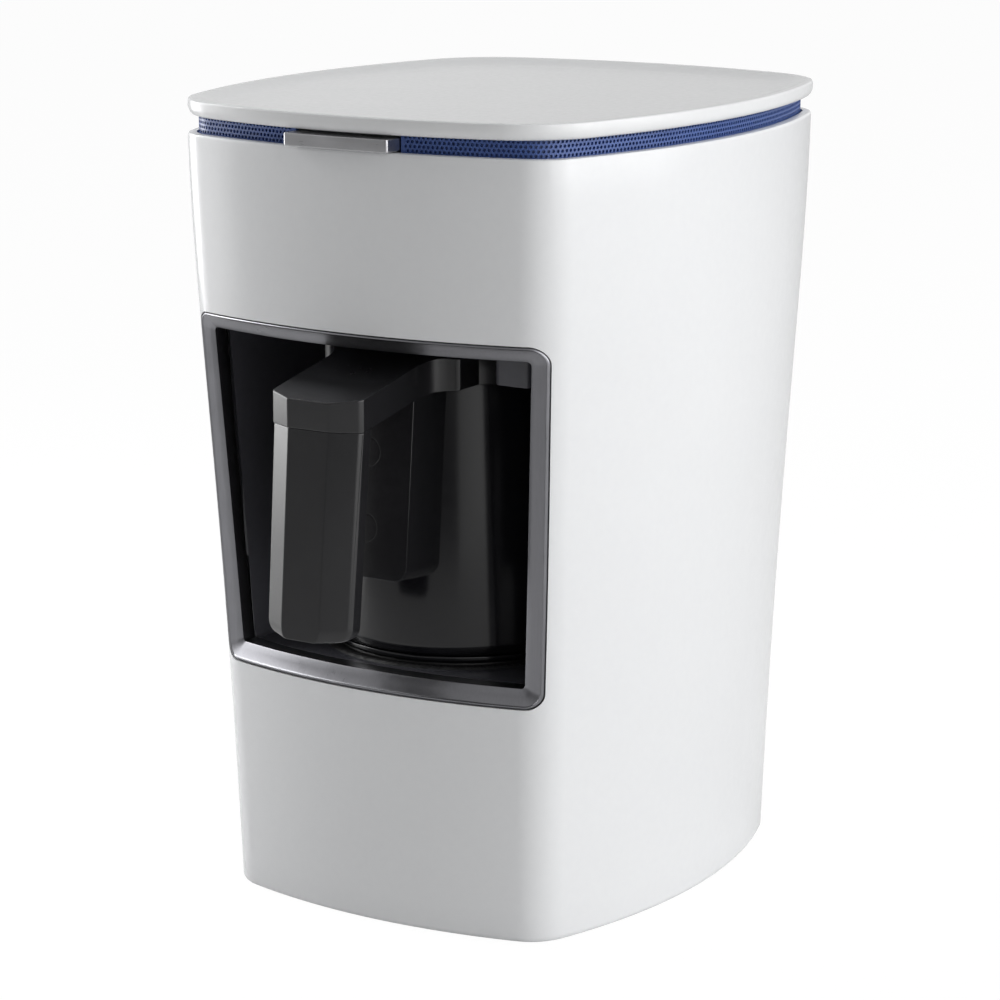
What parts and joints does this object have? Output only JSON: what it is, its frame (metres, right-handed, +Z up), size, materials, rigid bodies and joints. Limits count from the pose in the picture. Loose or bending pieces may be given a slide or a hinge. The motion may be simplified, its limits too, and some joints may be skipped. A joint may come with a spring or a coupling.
{
  "type": "electric turkish coffee maker",
  "caption": "Tapered countertop coffee maker with an open-fronted heated niche, a removable handled pot and a start key under the rim of its cover.",
  "frame": {"origin": "on the table, under the middle of the whole machine, handle included", "axes": "+Z up, -Y towards the front, where the niche and the pot's handle are, +X to the right of someone who faces the front"},
  "size_m": [0.1572, 0.2008, 0.24],
  "materials": {
    "housing_white": "gloss white, moulded",
    "cover_white": "gloss white, moulded",
    "band_blue": "semi-gloss blue",
    "frame_metal": "brushed along the bars",
    "button_metal": "brushed",
    "niche_black": "high gloss black",
    "pot_black": "high gloss black enamel",
    "handle_black": "gloss black",
    "plate_coating": "dark non-stick coating",
    "base_black": "fine grain",
    "inner_black": "matte",
    "foot_rubber": "matte",
    "seal_rubber": "black silicone",
    "screw_steel": "zinc plated",
    "screw_black": "black oxide",
    "sheet_steel": "plain",
    "element_steel": "heat tinted",
    "pad_wool": "felted mineral wool",
    "lens_red": "dark red, clear",
    "board_green": "solder resist",
    "tape_yellow": "wound tape",
    "relay_blue": "matte",
    "capacitor_grey": "sleeved",
    "connector_ivory": "matte",
    "terminal_white": "unglazed",
    "bracket_grey": "matte",
    "wire_red": "matte",
    "wire_brown": "matte",
    "wire_black": "matte"
  },
  "bodies": {
    "housing": {"outer_shell": "housing_white", "base_plate": "base_black", "rubber_feet": "foot_rubber", "base_screws": "screw_steel", "liner_screws": "screw_steel", "top_tray": "inner_black", "tray_screws": "screw_steel", "vent_band": "band_blue", "top_cover": "cover_white", "front_frame": "frame_metal", "niche_liner": "niche_black", "heater_plate": "plate_coating", "heating_element": "element_steel", "heater_seal": "seal_rubber", "heater_pan": "sheet_steel", "heater_screws": "screw_steel", "insulation_pad": "pad_wool", "temperature_sensor": "sheet_steel", "thermal_cutout": "inner_black", "sensor_housing": "niche_black", "sensor_lens": "lens_red", "sensor_board": "board_green", "power_board": "board_green", "transformer": "tape_yellow", "relay": "relay_blue", "capacitors": "capacitor_grey", "board_connectors": "connector_ivory", "board_screws": "screw_steel", "terminal_block": "terminal_white", "cord_gland": "inner_black", "gland_nut": "inner_black", "key_bracket": "bracket_grey", "key_board": "board_green", "push_switch": "inner_black", "buzzer": "inner_black", "key_screws": "screw_steel", "heater_leads": "wire_red", "mains_leads": "wire_brown", "sensor_cable": "wire_black", "key_cable": "wire_black"},
    "start_key": {"start_button": "button_metal", "key_slider": "bracket_grey", "switch_plunger": "connector_ivory"},
    "pot": {"pot_vessel": "pot_black", "pot_base": "pot_black", "pot_collar": "handle_black", "handle_arm": "handle_black", "handle_grip": "handle_black", "handle_leg": "handle_black", "leg_caps": "handle_black", "handle_bracket": "sheet_steel", "handle_screws": "screw_black"}
  },
  "joints": [
    {"name": "start_key_press", "type": "slide", "parent": "housing", "child": "start_key", "axis": [0, 1, 0], "range_m": [0, 0.002], "stiffness_N_per_m": 300, "springref_m": -0.003},
    {"name": "pot_pull_out", "type": "slide", "parent": "housing", "child": "pot", "axis": [0, -1, 0], "range_m": [0, 0.13]}
  ]
}
